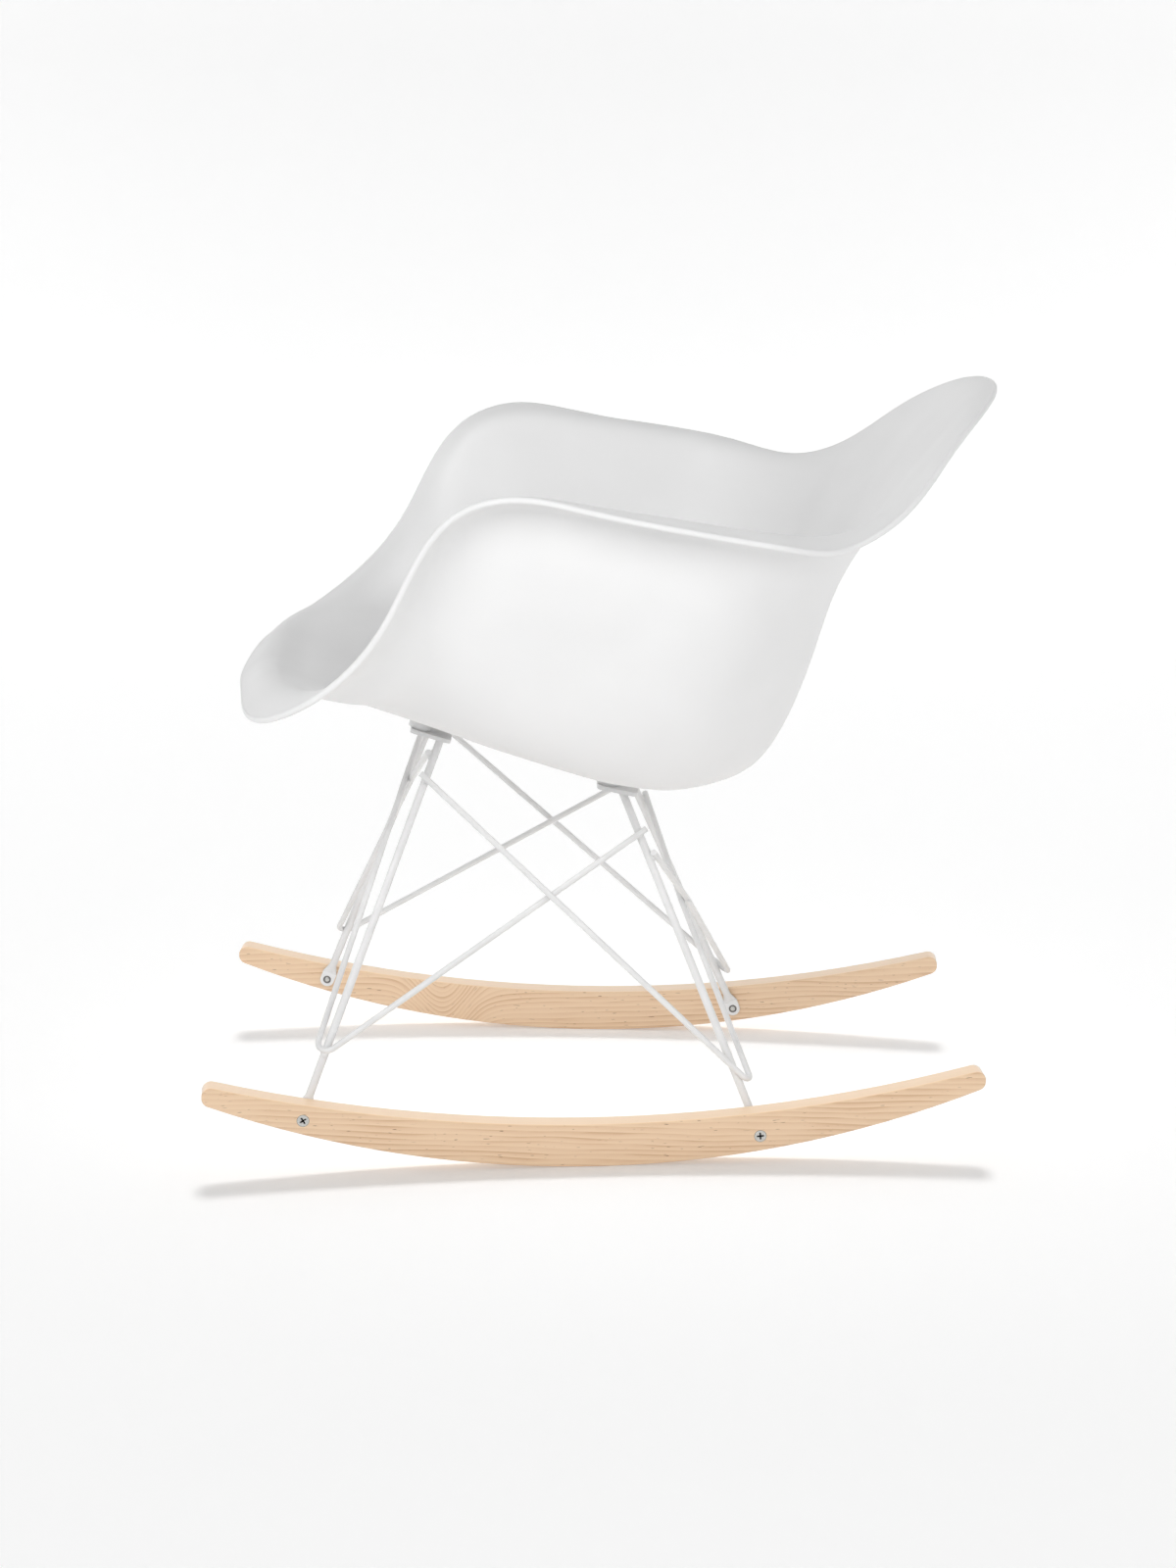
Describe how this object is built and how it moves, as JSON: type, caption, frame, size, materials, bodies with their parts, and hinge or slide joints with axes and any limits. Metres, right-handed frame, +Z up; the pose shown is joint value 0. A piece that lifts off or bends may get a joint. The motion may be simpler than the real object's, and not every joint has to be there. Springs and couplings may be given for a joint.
{
  "type": "moulded plastic rocking armchair",
  "caption": "Rocking armchair: a one-piece moulded plastic shell on a braced steel rod base with curved wooden rockers.",
  "frame": {"origin": "on the floor, midway between the two rockers, on the line where they touch the floor at rest", "axes": "-X is the way the chair faces, +X is its back, +Y its right side, +Z up"},
  "size_m": [0.6983, 0.6316, 0.6626],
  "materials": {
    "polypropylene_white": "fine matt",
    "powder_coated_steel": "satin powder coat",
    "maple": "clear satin lacquer",
    "zinc_plated_steel": "bright zinc",
    "blackened_steel": "dark oxide",
    "brass": "plain"
  },
  "bodies": {
    "root": {"seat_shell": "polypropylene_white", "rocker_left": "maple", "rocker_right": "maple", "leg_front_left": "powder_coated_steel", "strut_front_left": "powder_coated_steel", "mounting_plate_front_left": "powder_coated_steel", "mount_screw_front_left": "zinc_plated_steel", "rocker_screw_front_left": "zinc_plated_steel", "threaded_bush_front_left": "blackened_steel", "threaded_insert_front_left": "brass", "leg_front_right": "powder_coated_steel", "strut_front_right": "powder_coated_steel", "mounting_plate_front_right": "powder_coated_steel", "mount_screw_front_right": "zinc_plated_steel", "rocker_screw_front_right": "zinc_plated_steel", "threaded_bush_front_right": "blackened_steel", "threaded_insert_front_right": "brass", "leg_rear_left": "powder_coated_steel", "strut_rear_left": "powder_coated_steel", "mounting_plate_rear_left": "powder_coated_steel", "mount_screw_rear_left": "zinc_plated_steel", "rocker_screw_rear_left": "zinc_plated_steel", "threaded_bush_rear_left": "blackened_steel", "threaded_insert_rear_left": "brass", "leg_rear_right": "powder_coated_steel", "strut_rear_right": "powder_coated_steel", "mounting_plate_rear_right": "powder_coated_steel", "mount_screw_rear_right": "zinc_plated_steel", "rocker_screw_rear_right": "zinc_plated_steel", "threaded_bush_rear_right": "blackened_steel", "threaded_insert_rear_right": "brass"}
  },
  "joints": []
}
